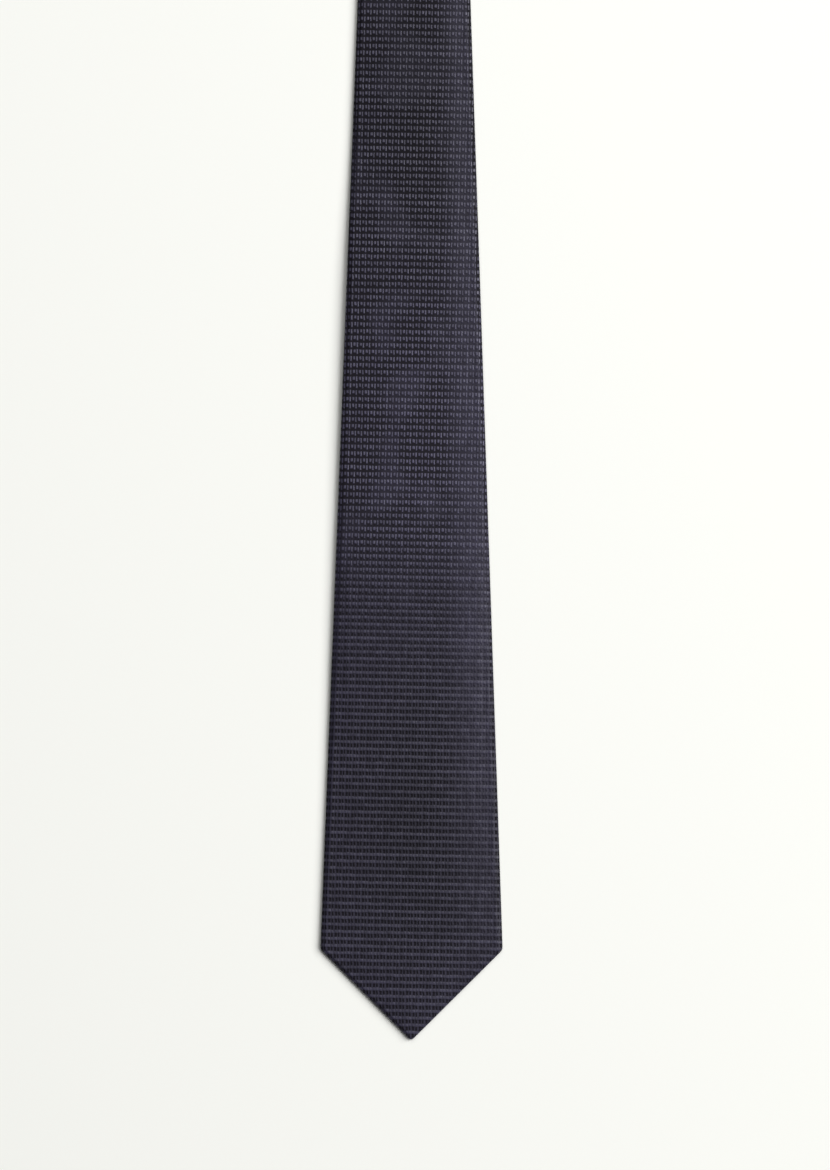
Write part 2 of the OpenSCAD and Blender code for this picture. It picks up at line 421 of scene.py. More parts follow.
class Graph:
    """One finish's node tree, and short ways to add what the finishes need."""

    def __init__(self, name: str) -> None:
        """Makes an empty node material of that name, with its one Principled shader."""
        self.material = bpy.data.materials.new(name)
        self.material.use_nodes = True
        self.tree = self.material.node_tree
        self.tree.nodes.clear()
        self.shader = self.add("BsdfPrincipled")
        self.add("OutputMaterial", {"Surface": self.shader.outputs[0]})

    def add(self, kind: str, inputs: dict | None = None, **settings: object) -> bpy.types.Node:
        """Adds one node with its settings and links.

        Args:
            kind: The node's type, without the "ShaderNode" that starts every one.
            inputs: Input name or number to a constant, or to the output socket that feeds it.
            settings: The node's own properties.

        Returns:
            The new node.
        """
        node = self.tree.nodes.new("ShaderNode" + kind)
        for key, value in settings.items():
            setattr(node, key, value)
        self.feed(node, inputs or {})
        return node

    def feed(self, node: bpy.types.Node, inputs: dict) -> None:
        """Sets each input to its constant, or links it to its socket."""
        for key, value in inputs.items():
            if isinstance(value, Socket):
                self.tree.links.new(value, node.inputs[key])
            else:
                node.inputs[key].default_value = value

    def shade(self, inputs: dict) -> Material:
        """Feeds the shader and returns the finished material."""
        self.feed(self.shader, inputs)
        return self.material

    def math(self, operation: str, *values: object) -> Socket:
        """Returns the output of one sum on numbers and sockets."""
        return self.add("Math", dict(enumerate(values)), operation=operation).outputs[0]

    def times(self, value: object, by: object, plus: float | Socket = 0.0) -> Socket:
        """Returns value * by + plus."""
        return self.math("MULTIPLY_ADD", value, by, plus)

    def vector(self, operation: str, *values: object, **named: float) -> Socket:
        """Returns the output of one sum on vectors."""
        return self.add("VectorMath", dict(enumerate(values)) | named, operation=operation).outputs[0]

    def split(self, vector: Socket) -> bpy.types.NodeOutputs:
        """Returns the three parts of a vector."""
        return self.add("SeparateXYZ", {0: vector}).outputs

    def uv(self, title: str) -> Socket:
        """Returns the piece's own coordinates of that name."""
        return self.add("UVMap", uv_map=title).outputs[0]

    def place(self) -> Socket:
        """Returns the place in the piece's own frame, in metres."""
        return self.add("TexCoord").outputs["Object"]

    def ramp(self, value: Socket, low: float, high: float) -> Socket:
        """Returns an ease from 0 at low to 1 at high."""
        inputs = {"Value": value, "From Min": low, "From Max": high}
        return self.add("MapRange", inputs, interpolation_type="SMOOTHSTEP").outputs[0]

    def window(self, value: Socket, low: float, high: float, soft: float) -> Socket:
        """Returns 1 between low and high and 0 outside, with edges soft wide on each side."""
        rise = self.ramp(value, low - soft, low + soft)
        return self.math("SUBTRACT", rise, self.ramp(value, high - soft, high + soft))

    def noise(self, place: Socket, scale: float, detail: float, dimensions: str = "2D"
              ) -> bpy.types.NodeOutputs:
        """Returns the value and colour of a cloud noise."""
        inputs = {"Vector": place, "Scale": scale, "Detail": detail}
        return self.add("TexNoise", inputs, noise_dimensions=dimensions).outputs

    def tint(self, share: Socket, low: str, high: str) -> Socket:
        """Returns a colour between two sRGB hex colours, low at 0 and high at 1."""
        return self.add("Mix", {0: share, 6: linear(low), 7: linear(high)}, data_type="RGBA").outputs[2]

    def value(self, colour: Socket, by: Socket) -> Socket:
        """Returns a colour with its brightness multiplied."""
        return self.add("HueSaturation", {"Color": colour, "Value": by}).outputs[0]

    def relief(self, height: Socket, distance: float, strength: float = 1.0) -> Socket:
        """Returns the normal of a surface with that height, where 1 stands for the distance in metres."""
        return self.add("Bump", {"Height": height, "Distance": distance, "Strength": strength}).outputs[0]


@dataclass(frozen=True)
class WaffleSilk:
    """Silk woven in a small two-pad waffle: matt wells between raised floats that catch the light."""

    weave: Weave
    name: str = "midnight silk, waffle weave"
    # The well colour is partly the silk's own dark tone and partly painted shade in the hollows of the weave; the
    # pad colour is partly the floats' tone and partly a painted sheen.
    well: str = "17151b"
    pad: str = "3d3a51"
    relief: float = 0.16 * MM
    wander: float = 0.21
    light_wave_run: float = 280 * MM
    light_wave_top: float = 226 * MM

    def material(self) -> Material:
        """Builds the finish. It reads the weave coordinates, where one unit is one repeat.

        Over most of the tie a short wide float and a long narrow float stand side by side in each repeat. Towards
        the blade's point the same weave is painted as it looks lit from the other way, a painted change of light
        and shade: the crossing threads are painted shining as a level band and the floats as dark squares. The wells
        are painted lighter towards the right side, a painted highlight where the cloth faces the light on the right,
        and in random patches. The whole tone is painted lighter and darker slowly along the tie, most in its middle,
        as 0.32 * cos(2 pi (s - top) / run): painted light and shade of a gentle wave in how the cloth lies.
        """
        g = Graph(self.name)
        place = g.uv("weave")
        shift = g.vector("SUBTRACT", g.noise(place, 0.9, 3.0)["Color"], (0.5, 0.5, 0.5))
        bent = g.vector("ADD", place, g.vector("SCALE", shift, Scale=self.wander))
        column, row, _ = g.split(bent)
        x, y = g.math("FRACT", column), g.math("FRACT", row)

        short = g.times(g.window(x, 0.08, 0.40, 0.07), g.window(y, 0.44, 0.90, 0.09))
        tall = g.times(g.window(x, 0.58, 0.82, 0.06), g.window(y, 0.24, 0.92, 0.09))
        floats = g.math("MAXIMUM", short, tall)
        squares = g.math("MAXIMUM", g.window(x, 0.08, 0.42, 0.06), g.window(x, 0.58, 0.84, 0.05))
        scallop = g.times(squares, -0.08, g.math("ADD", y, 0.06))
        band = g.window(scallop, 0.57, 0.98, 0.12)
        bars = g.times(g.math("SUBTRACT", 1.0, squares), 0.43)
        painted_point_look = g.math("MAXIMUM", g.times(band, 0.66), bars)

        along = self.weave.row_at
        # Painted light and shade: towards the blade's point the same weave is painted as it looks lit from the other
        # way, the crossing threads as a shining band and the floats dark.
        away = g.ramp(row, along(118 * MM), along(225 * MM))
        light = g.add("Mix", {0: g.math("SUBTRACT", 1.0, away), 2: floats, 3: painted_point_look}).outputs[0]
        side, station, _ = g.split(g.uv("side"))
        # Painted highlight: the wells are painted lighter towards the right side, where the cloth faces the light on
        # the right; random patches of the same lift are added over most of the tie.
        painted_side_light_and_patches = g.times(g.ramp(side, 0.30, 0.80), g.ramp(row, along(-20 * MM), along(110 * MM)))
        patches = g.times(g.ramp(g.noise(place, 0.11, 1.0)[0], 0.48, 0.70), 0.55)
        painted_side_light_and_patches = g.math("MAXIMUM", painted_side_light_and_patches, g.times(patches, away))
        light = g.math("MAXIMUM", light, g.math("ADD", g.times(painted_side_light_and_patches, 0.27), g.times(light, 0.7)))

        cell = g.vector("FLOOR", g.vector("MULTIPLY", bent, (2.0, 1.0, 1.0)))
        uneven = g.add("TexWhiteNoise", {"Vector": cell}, noise_dimensions="2D").outputs[0]
        pick = g.add("TexWhiteNoise", {"W": g.math("FLOOR", row)}, noise_dimensions="1D").outputs[0]
        yarn = g.noise(place, 5.0, 2.0)[0]
        level = g.times(uneven, 0.40, g.times(pick, 0.16, 0.62))
        shade = g.times(light, g.times(level, g.times(yarn, 0.5, 0.75)))

        slub = g.noise(g.vector("MULTIPLY", place, (0.07, 1.2, 1.0)), 1.0, 3.0)[0]
        # Painted light and shade: the tone rises and falls slowly along the tie, as where a gentle wave in how the
        # cloth lies catches the light, most in the middle of its width.
        turn = g.times(g.math("SUBTRACT", station, self.light_wave_top), 2 * float(np.pi) / self.light_wave_run)
        swing = g.times(g.math("ABSOLUTE", side), -0.22, 0.32)
        wave = g.times(g.math("COSINE", turn), swing, 1.0)
        height = g.times(yarn, 0.25, g.math("MAXIMUM", floats, g.times(band, 0.6)))
        return g.shade({
            "Base Color": g.value(g.tint(shade, self.well, self.pad), g.times(g.times(slub, 0.30, 0.85), wave)),
            "Normal": g.relief(height, self.relief, 0.8),
            "Roughness": g.times(shade, -0.22, 0.62),
            "Specular IOR Level": g.times(shade, 0.40, 0.08),
            "Sheen Weight": 0.04,
            "Sheen Roughness": 0.45,
            "Sheen Tint": linear("b9b4cf"),
        })


@dataclass(frozen=True)
class SatinLining:
    """Cupro lining in a fine satin: smooth, close and gently glossy along its warp."""

    name: str = "navy lining satin"
    colour: str = "191822"
    light: str = "2a2938"
    line: float = 0.42 * MM

    def material(self) -> Material:
        """Builds the finish: fine slanted warp lines, made coarser than the real 0.1 mm so that they show."""
        g = Graph(self.name)
        turned = g.add("Mapping", {"Vector": g.place(), "Rotation": (0.0, 0.0, float(np.radians(62)))}).outputs[0]
        lines = g.add("TexWave", {"Vector": turned, "Scale": 0.314 / self.line, "Distortion": 0.6, "Detail": 2.0,
                                  "Detail Scale": 3.0}).outputs[1]
        cloud = g.noise(g.place(), 90.0, 4.0, "3D")[0]
        return g.shade({
            "Base Color": g.tint(g.times(cloud, 0.6, g.times(lines, 0.4)), self.colour, self.light),
            "Normal": g.relief(lines, 0.03 * MM, 0.7),
            "Roughness": 0.42,
            "Specular IOR Level": 0.30,
            "Sheen Weight": 0.04,
        })


@dataclass(frozen=True)
class BrushedWool:
    """Brushed wool interlining: a dull oatmeal felt with stray fibres."""

    name: str = "brushed wool interlining"
    colour: str = "c2baa6"
    fibre: str = "dcd6c6"

    def material(self) -> Material:
        """Builds the finish: fibre noise, stretched across the tie."""
        g = Graph(self.name)
        spread = g.add("Mapping", {"Vector": g.place(), "Scale": (600.0, 2200.0, 900.0)}).outputs[0]
        fibres = g.noise(spread, 1.0, 5.0, "3D")[0]
        return g.shade({
            "Base Color": g.tint(fibres, self.colour, self.fibre),
            "Normal": g.relief(fibres, 0.25 * MM),
            "Roughness": 0.95,
            "Sheen Weight": 0.3,
        })


@dataclass(frozen=True)
class TwistedThread:
    """Silk sewing thread: a tight twist with a soft shine."""

    name: str = "navy silk sewing thread"
    colour: str = "2a2935"
    ply: str = "5a586c"

    def material(self) -> Material:
        """Builds the finish: slanted ply lines 0.3 mm apart over the thread."""
        g = Graph(self.name)
        turned = g.add("Mapping", {"Vector": g.place(), "Rotation": (0.6, 0.5, 0.7)}).outputs[0]
        ply = g.add("TexWave", {"Vector": turned, "Scale": 1050.0}).outputs[1]
        return g.shade({"Base Color": g.tint(ply, self.colour, self.ply), "Roughness": 0.42, "Sheen Weight": 0.15})


@dataclass(frozen=True)
class LabelWeave:
    """Damask label ribbon: a dense satin ground with a plain woven border and no lettering."""

    name: str
    ground: str
    border: str
    low: tuple[float, float]
    high: tuple[float, float]
    rib: float = 0.2 * MM

    def material(self) -> Material:
        """Builds the finish: fine weft ribs and, 1.6 mm in from the edge, a border line 0.5 mm wide."""
        g = Graph(self.name)
        parts = g.split(g.place())
        inset = []
        for axis in (0, 1):
            centre = (self.low[axis] + self.high[axis]) / 2
            reach = (self.high[axis] - self.low[axis]) / 2
            off = g.math("ABSOLUTE", g.math("SUBTRACT", parts[axis], centre))
            inset.append(g.math("SUBTRACT", reach, off))
        line = g.window(g.math("MINIMUM", *inset), 1.6 * MM, 2.1 * MM, 0.08 * MM)
        ribs = g.times(g.math("PINGPONG", parts[1], self.rib), 1 / self.rib)
        return g.shade({
            "Base Color": g.value(g.tint(line, self.ground, self.border), g.times(ribs, 0.25, 0.85)),
            "Normal": g.relief(g.math("ADD", ribs, line), 0.03 * MM),
            "Roughness": 0.45,
            "Sheen Weight": 0.1,
        })


@dataclass
class Finishes:
    """The finishes, each built once."""

    weave: Weave
    silk: Material = field(init=False)
    lining: Material = field(init=False)
    wool: Material = field(init=False)
    thread: Material = field(init=False)

    def __post_init__(self) -> None:
        """Builds the shared materials."""
        self.silk = WaffleSilk(self.weave).material()
        self.lining = SatinLining().material()
        self.wool = BrushedWool().material()
        self.thread = TwistedThread().material()


def dress(piece: Piece, material: Material, slot: str, *nodes: str) -> Piece:
    """Gives a piece its finish, hides the frame's nodes that it stands for, and reports it.

    Args:
        piece: The piece.
        material: Its finish.
        slot: Not used.
        nodes: The frame's nodes that the piece replaces.

    Returns:
        The same piece.
    """
    piece.data.materials.clear()
    piece.data.materials.append(material)
    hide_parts(*nodes)
    LOG.info("%s: %d faces, for %s", piece.name, len(piece.data.polygons), ", ".join(nodes))
    return piece


# ---------------------------------------------------------------- sub-assemblies


@dataclass
class ClothPanels:
    """The three panels of patterned cloth, folded round the core and lapped at the centre back."""

    lay: Lay
    weave: Weave
    finishes: Finishes
    blade_seam: float = 650 * MM
    tail_seam: float = 930 * MM
    gap: float = 0.06 * MM
    bead: float = 0.10 * MM
    bead_in: float = 2.3 * MM
    bias_ease: float = 55 * MM
    groove: float = 0.22 * MM
    lap_rise: float = 0.72 * MM

    def section(self, rows: Array, bias_at: tuple[float, ...]) -> tuple[Array, Array]:
        """Works out the cloth's middle surface for rows of stations.

        Each row starts at the inner flap's free edge, runs left under the back, round the left edge on a half
        ellipse, over the crowned front, round the right edge and back to the outer flap's free edge. Near a
        bias seam the rows slope with x, so that the panel ends on its seam line.

        Args:
            rows: Stations along the tie.
            bias_at: Stations of the bias seams that end this panel.

        Returns:
            The points, shaped (rows, columns, 3), and the surface distance from the centre of the front.
        """
        lay = self.lay
        run, turn = np.linspace(0, 1, 18)[:-1], np.linspace(-1, 1, 13) * np.pi / 2
        front = np.sin(np.linspace(-1, 1, 61) * np.pi / 2)[1:-1]
        to_edge, to_flat = mirrored(1 - run, 0 * turn, 0 * front), mirrored(run, 0 * turn + 1, front)
        to_roll = mirrored(0 * run, np.cos(turn), 0 * front)
        up = mirrored(0 * run - 1, np.sin(turn), 0 * front + 1, 1.0)
        left, face = slice(0, len(run)), slice(len(run) + len(turn), -len(run) - len(turn))

        bias = sum(smooth(1 - np.abs(rows - at) / self.bias_ease) for at in bias_at) if bias_at else 0.0 * rows
        s = rows[:, None] + (bias * lay.half(rows))[:, None] * to_flat
        inset = lay.cloth / 2
        half = np.maximum(lay.half(s) - inset, 0.0)
        at_end = np.minimum(s, lay.length - s)
        pinch = np.sqrt(np.clip(1 - (1 - np.clip(at_end / (1.3 * MM), 0, 1)) ** 2, 0, 1))
        roll = np.minimum(lay.roll, 0.5 * half)
        x = to_edge * lay.free_edge(s) + to_flat * (half - roll) + to_roll * roll
        top = lay.thick - inset - lay.crown
        z = (top + inset) / 2 + up * (top - inset) / 2 * pinch

        reach = np.abs(x) / np.maximum(half, 1e-6)
        dome = lay.crown * np.clip(1 - reach**2.2, 0, 1) * lay.fill(s)
        bead = self.bead * np.exp(-(((lay.half(s) - np.abs(x) - self.bead_in) / (0.7 * MM)) ** 2)) * lay.fill(s)
        z[:, face] += (dome + bead)[:, face]
        lapped = self.lap_rise * lay.seam_zone(s) * smooth((x + lay.lap + 7 * MM) / (6 * MM))
        z[:, left] += lapped[:, left]
        groove = sum(np.exp(-(((s - x * (bias > 0.5)[:, None] - at) / (0.7 * MM)) ** 2)) for at in bias_at)
        if bias_at:
            z[:, face] -= self.groove * groove[:, face]
        z += lay.lift(s) - lay.sag(s, x)
        xyz = points(x, lay.y(s), z)
        step = np.linalg.norm(np.diff(xyz[:, :, [0, 2]], axis=1), axis=2)
        u = np.concatenate([np.zeros((len(rows), 1)), np.cumsum(step, axis=1)], axis=1)
        return xyz, u - u[:, [u.shape[1] // 2]]

    def panel(self, name: str, rows: Array, bias_at: tuple[float, ...], phase: float, *nodes: str
              ) -> Piece:
        """Makes one panel.

        Args:
            name: The piece's name.
            rows: Stations along the tie.
            bias_at: Stations of the bias seams that end the panel.
            phase: How far the weave is shifted, in repeats.
            nodes: The frame's nodes that it replaces.

        Returns:
            The panel.
        """
        xyz, u = self.section(rows, bias_at)
        s = xyz[:, :, 1] + self.lay.length / 2
        uv = self.weave.uv(u, s) + phase
        side = np.zeros_like(uv)
        side[:, :, 1] = s
        front = slice(s.shape[1] // 4, -(s.shape[1] // 4))
        side[:, front, 0] = (xyz[:, :, 0] / np.maximum(self.lay.half(s), MM))[:, front]
        piece = grid_mesh(name, xyz, {"weave": uv, "side": side})
        area = face_area(piece)
        thicken(piece, self.lay.cloth)
        dress(piece, self.finishes.silk, "patterned_silk", *nodes)
        return piece

    def build(self) -> None:
        """Makes the blade, neck and tail panels."""
        lay, gap = self.lay, self.gap
        fine, plain = 0.6 * MM, 2.6 * MM
        blade = steps((0, 1.5 * MM, 0.15 * MM), (1.5 * MM, 14 * MM, fine), (14 * MM, 30 * MM, plain / 2),
                      (30 * MM, 46 * MM, 0.8 * MM), (46 * MM, 100 * MM, plain), (100 * MM, 118 * MM, plain / 2),
                      (118 * MM, 590 * MM, plain), (590 * MM, self.blade_seam - gap, plain / 2))
        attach(self.panel("blade_panel", blade, (self.blade_seam,), 0.0, "blade_shell"), "blade_half")
        middle = lay.length / 2
        neck = steps((self.blade_seam + gap, middle - 20 * MM, plain / 2), (middle - 20 * MM, middle - 5 * MM, fine),
                     (middle - 5 * MM, middle + 5 * MM, 0.25 * MM), (middle + 5 * MM, middle + 20 * MM, fine),
                     (middle + 20 * MM, self.tail_seam - gap, plain / 2))
        panel = self.panel("neck_panel", neck, (self.blade_seam, self.tail_seam), 0.37, "neck_shell_blade_side",
                           "neck_fold_cloth", "neck_shell_tail_side")
        bend_across_neck(panel)
        end = lay.length
        tail = steps((self.tail_seam + gap, self.tail_seam + 60 * MM, plain / 2),
                     (self.tail_seam + 60 * MM, end - 74 * MM, plain), (end - 74 * MM, end - 60 * MM, plain / 2),
                     (end - 60 * MM, end - 28 * MM, plain), (end - 28 * MM, end - 14 * MM, 0.8 * MM),
                     (end - 14 * MM, end - 1.5 * MM, fine), (end - 1.5 * MM, end, 0.15 * MM))
        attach(self.panel("tail_panel", tail, (self.tail_seam,), 0.61, "tail_shell"), "tail_half")


def bend_across_neck(piece: Piece) -> None:
    """Bakes the placement of a piece that crosses the neck fold into its mesh."""
    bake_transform(piece)


@dataclass
class Core:
    """The wool interlining and the two pieces of lining that tip the ends."""

    lay: Lay
    finishes: Finishes

    def interlining(self) -> Piece:
        """Makes the wool core: a flat slab with rounded edges, a little smaller than the cloth round it.

        Across, a row is a squared-up circle. A Gaussian 8 mm wide halves its height at the neck fold, where the
        wool is pressed thin.
        """
        lay = self.lay
        middle = lay.length / 2
        rows = steps((6 * MM, 44 * MM, 1.5 * MM), (44 * MM, middle - 20 * MM, 4 * MM),
                     (middle - 20 * MM, middle - 5 * MM, 0.6 * MM), (middle - 5 * MM, middle + 5 * MM, 0.25 * MM),
                     (middle + 5 * MM, middle + 20 * MM, 0.6 * MM), (middle + 20 * MM, lay.length - 30 * MM, 4 * MM),
                     (lay.length - 30 * MM, lay.length - 6 * MM, 1.5 * MM))
        angle = circle(56)
        squared, raised = squarer(np.cos(angle), 0.3), squarer(np.sin(angle), 0.3)
        s = np.repeat(rows[:, None], len(angle), axis=1)
        half = np.maximum(lay.half(s) - 2.4 * MM, 0.0)
        low = (0.88 + 0.55 * lay.seam_zone(s)) * MM
        reach = np.abs(squared)
        top = lay.thick - lay.cloth - lay.crown - 0.12 * MM + 0.85 * lay.crown * (1 - reach**2.2) * lay.fill(s)
        ends = np.minimum(rows - rows[0], rows[-1] - rows)
        pinch = np.sqrt(np.clip(1 - (1 - np.clip(ends / (1.2 * MM), 0, 1)) ** 2, 0, 1))[:, None]
        x = half * squared * pinch**0.5
        pressed = 1 - 0.5 * np.exp(-(((s - middle) / (8 * MM)) ** 2))
        z = (top + low) / 2 + (top - low) / 2 * raised * pinch * pressed + lay.lift(s) - lay.sag(s, x)
        xyz = points(x, lay.y(s), z)
        piece = outward(grid_mesh("interlining", xyz, around=True))
        area = float(np.trapz(2 * (lay.half(rows) - 2.4 * MM), rows))
        dress(piece, self.finishes.wool, "wool_interlining", "interlining_blade", "interlining_neck_fold",
              "interlining_tail")
        bend_across_neck(piece)
        return piece

    def tipping(self, end: End) -> Piece:
        """Makes one end's lining: a kite tucked under the hem and the flaps, slightly quilted by its seam."""
        lay = self.lay
        hem, apex, _ = lay.end_sizes(end)
        first, last = (hem - lay.tuck) * ROOT2 - lay.blunt, apex + 2 * lay.tuck
        d = np.linspace(first, last, 90)
        across = np.linspace(-1, 1, 49)
        s = np.repeat(lay.from_end(end, d)[:, None], len(across), axis=1)
        half = np.maximum(lay.opening(s, end, lay.tuck), 0.0)
        half[0], half[-1] = 0.0, 0.0
        x = half * across
        wave = 0.05 * MM * np.sin(x / (4.5 * MM)) * np.sin(s / (6 * MM)) * (1 - across**2)
        z = 0.66 * MM + wave + lay.lift(s)
        xyz = points(x, lay.y(s), z)
        if end is End.BLADE:
            xyz = xyz[:, ::-1]
        node = f"{end.value}_tipping"
        piece = grid_mesh(f"{end.value}_lining", xyz)
        area = face_area(piece)
        thicken(piece, 0.2 * MM)
        dress(piece, self.finishes.lining, "lining_satin", node)
        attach(piece, f"{end.value}_half")
        return piece

    def build(self) -> None:
        """Makes the core and both tippings."""
        self.interlining()
        for end in End:
            self.tipping(end)


@dataclass
class Threads:
    """All the sewing: hidden machine seams, the slip stitch, the bar tacks and the slack loop."""

    lay: Lay
    finishes: Finishes
    gauge: float = 0.2 * MM

    def stitches(self, name: str, starts: Array, ends: Array, bulge: float, gauge: float
                 ) -> Piece:
        """Makes a row of separate stitches as one mesh.

        Each is a tube from its start to its end, lifted along z by bulge * sin(pi t), with rings of radius
        gauge / 2 * (1 - (2t - 1)^6)^0.5, which closes it at both ends.

        Args:
            name: The piece's name.
            starts: First ends, shaped (stitches, 3).
            ends: Second ends, shaped (stitches, 3).
            bulge: How far the middle of a stitch stands up; below zero it stands down.
            gauge: The thread's diameter.

        Returns:
            The new object.
        """
        t = np.linspace(0, 1, 9)
        angle = circle(8)
        run = ends - starts
        along = unit(run)
        side = unit(np.cross(along, np.array([0.0, 0.0, 1.0])))
        up = np.cross(side, along)
        spine = starts[:, None] + run[:, None] * t[None, :, None]
        spine[:, :, 2] += bulge * np.sin(np.pi * t)
        radius = gauge / 2 * np.sqrt(np.clip(1 - (2 * t - 1) ** 6, 0, 1))
        ring = side[:, None, None] * np.cos(angle)[None, None, :, None]
        ring = ring + up[:, None, None] * np.sin(angle)[None, None, :, None]
        xyz = spine[:, :, None] + radius[None, :, None, None] * ring
        return self.tubes(name, xyz)

    @staticmethod
    def tubes(name: str, xyz: Array) -> Piece:
        """Makes tubes from rings, shaped (tubes, rings, points, 3), all in one mesh."""
        count, rings, round_it = xyz.shape[:3]
        k, r, c = np.meshgrid(np.arange(count), np.arange(rings - 1), np.arange(round_it), indexing="ij")
        base = k * rings * round_it
        nxt = (c + 1) % round_it
        corners = [r * round_it + c, r * round_it + nxt, (r + 1) * round_it + nxt, (r + 1) * round_it + c]
        quads = np.stack([base + corner for corner in corners], axis=-1).reshape(-1, 4)
        mesh = bpy.data.meshes.new(name)
        mesh.from_pydata(xyz.reshape(-1, 3), [], quads.tolist())
        return outward(finish_mesh(name, mesh))

    def sew(self, piece: Piece, body: str, node: str) -> None:
        """Gives a thread piece its finish and its body."""
        dress(piece, self.finishes.thread, "sewing_thread", node)
        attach(piece, body)

    def slip_stitch(self, node: str, first: float, last: float, body: str) -> None:
        """Makes the long stitches that join the lapped flaps, just inside the outer flap's fold."""
        lay = self.lay
        s = np.arange(first, last - 11 * MM, 11 * MM)
        x = np.full_like(s, -lay.lap + 1.35 * MM)
        start = points(x, lay.y(s), lay.lift(s) + 0.58 * MM)
        stop = points(x + 0.5 * MM, lay.y(s + 6.6 * MM), lay.lift(s + 6.6 * MM) + 0.58 * MM)
        self.sew(self.stitches(node + "_rows", start, stop, 0.0, 0.16 * MM), body, node)

    def bias_seam(self, node: str, at: float, body: str) -> None:
        """Makes the machine stitches of a seam between two panels, under the front cloth."""
        lay = self.lay
        reach = float(lay.width(np.array(at))) / 2 - 2 * MM
        x = np.arange(-reach, reach - 1 * MM, 2.1 * MM)
        z = np.full_like(x, lay.thick - lay.cloth - lay.crown * 0.85)
        start = points(x, lay.y(at + x), z)
        stop = points(x + 1.5 * MM, lay.y(at + x + 1.5 * MM), z)
        self.sew(self.stitches(node + "_row", start, stop, 0.0, 0.14 * MM), body, node)

    def point_seam(self, end: End) -> None:
        """Makes the machine stitches that join an end's lining to its hem, on the lining's inner side."""
        lay = self.lay
        hem, _, _ = lay.end_sizes(end)
        length = 40 * MM if end is End.BLADE else 20 * MM
        sign, d = both_sides(np.arange(4 * MM, length, 2.2 * MM) / ROOT2)
        ends = []
        for step in (0.0, 1.1 * MM):
            s = lay.from_end(end, (hem - 1 * MM) * ROOT2 + d + step)
            ends.append(points(sign * (d + step), lay.y(s), lay.lift(s) + 0.9 * MM))
        node = f"{end.value}_tip_seam_thread"
        self.sew(self.stitches(node + "_rows", *ends, 0.0, 0.14 * MM), f"{end.value}_half", node)

    def bar_tack(self, end: End) -> None:
        """Makes the tack at an end of the back seam: long turns across it, bound by short turns over them."""
        lay = self.lay
        low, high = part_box(f"{end.value}_bar_tack")
        centre = (low[1] + high[1]) / 2
        turns = np.linspace(-0.55, 0.55, 6) * MM
        under = float(lay.lift(np.array(centre + lay.length / 2))) - 0.04 * MM
        z = np.full_like(turns, under)
        start = points(np.full_like(turns, low[0]), centre + turns, z)
        stop = points(np.full_like(turns, high[0]), centre + turns[::-1] * 0.6, z)
        across = np.linspace(low[0] + 0.8 * MM, high[0] - 0.8 * MM, 15)
        z = np.full_like(across, under - 0.02 * MM)
        bind_start = points(across, np.full_like(across, centre - 0.8 * MM), z)
        bind_stop = points(across + 0.15 * MM, np.full_like(across, centre + 0.8 * MM), z)
        node = f"{end.value}_bar_tack"
        rows = self.stitches(node + "_turns", np.concatenate([start, bind_start]),
                             np.concatenate([stop, bind_stop]), -0.10 * MM, self.gauge)
        self.sew(rows, f"{end.value}_half", node)

    def slack_loop(self) -> None:
        """Makes the loop left at the end of the slip stitch: a ring pulled to a drop, lying on the lining."""
        low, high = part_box("slack_thread_loop")
        centre = [(low[i] + high[i]) / 2 for i in range(3)]
        turn = circle(56)
        reach = (high[0] - low[0]) / 2
        x = centre[0] + reach * np.sin(turn) * (0.75 + 0.25 * np.cos(turn))
        y = centre[1] - reach * np.cos(turn)
        spine = points(x, y, np.full_like(x, centre[2] + 0.02 * MM))
        along = unit(np.roll(spine, -1, axis=0) - np.roll(spine, 1, axis=0))
        up = np.array([0.0, 0.0, 1.0])
        side = np.cross(along, up)
        angle = circle(10)
        ring = side[:, None] * np.cos(angle)[None, :, None] + up * np.sin(angle)[None, :, None]
        xyz = spine[:, None] + self.gauge / 2 * ring
        xyz = np.concatenate([xyz, xyz[:1]])
        self.sew(self.tubes("slack_loop", xyz[None]), "blade_half", "slack_thread_loop")

    def build(self, panels: ClothPanels) -> None:
        """Makes every thread that belongs to the tie's own seams."""
        lay = self.lay
        fold_low, fold_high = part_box("neck_fold_cloth")
        middle = lay.length / 2
        self.slip_stitch("slip_stitch_blade", lay.blade_apex + 6 * MM, middle + fold_low[1], "blade_half")
        self.slip_stitch("slip_stitch_tail", middle + fold_high[1] + 4 * MM, lay.length - lay.tail_apex, "tail_half")
        self.bias_seam("blade_join_seam_thread", panels.blade_seam, "blade_half")
        self.bias_seam("tail_join_seam_thread", panels.tail_seam, "tail_half")
        for end in End:
            self.point_seam(end)
            self.bar_tack(end)
        self.slack_loop()


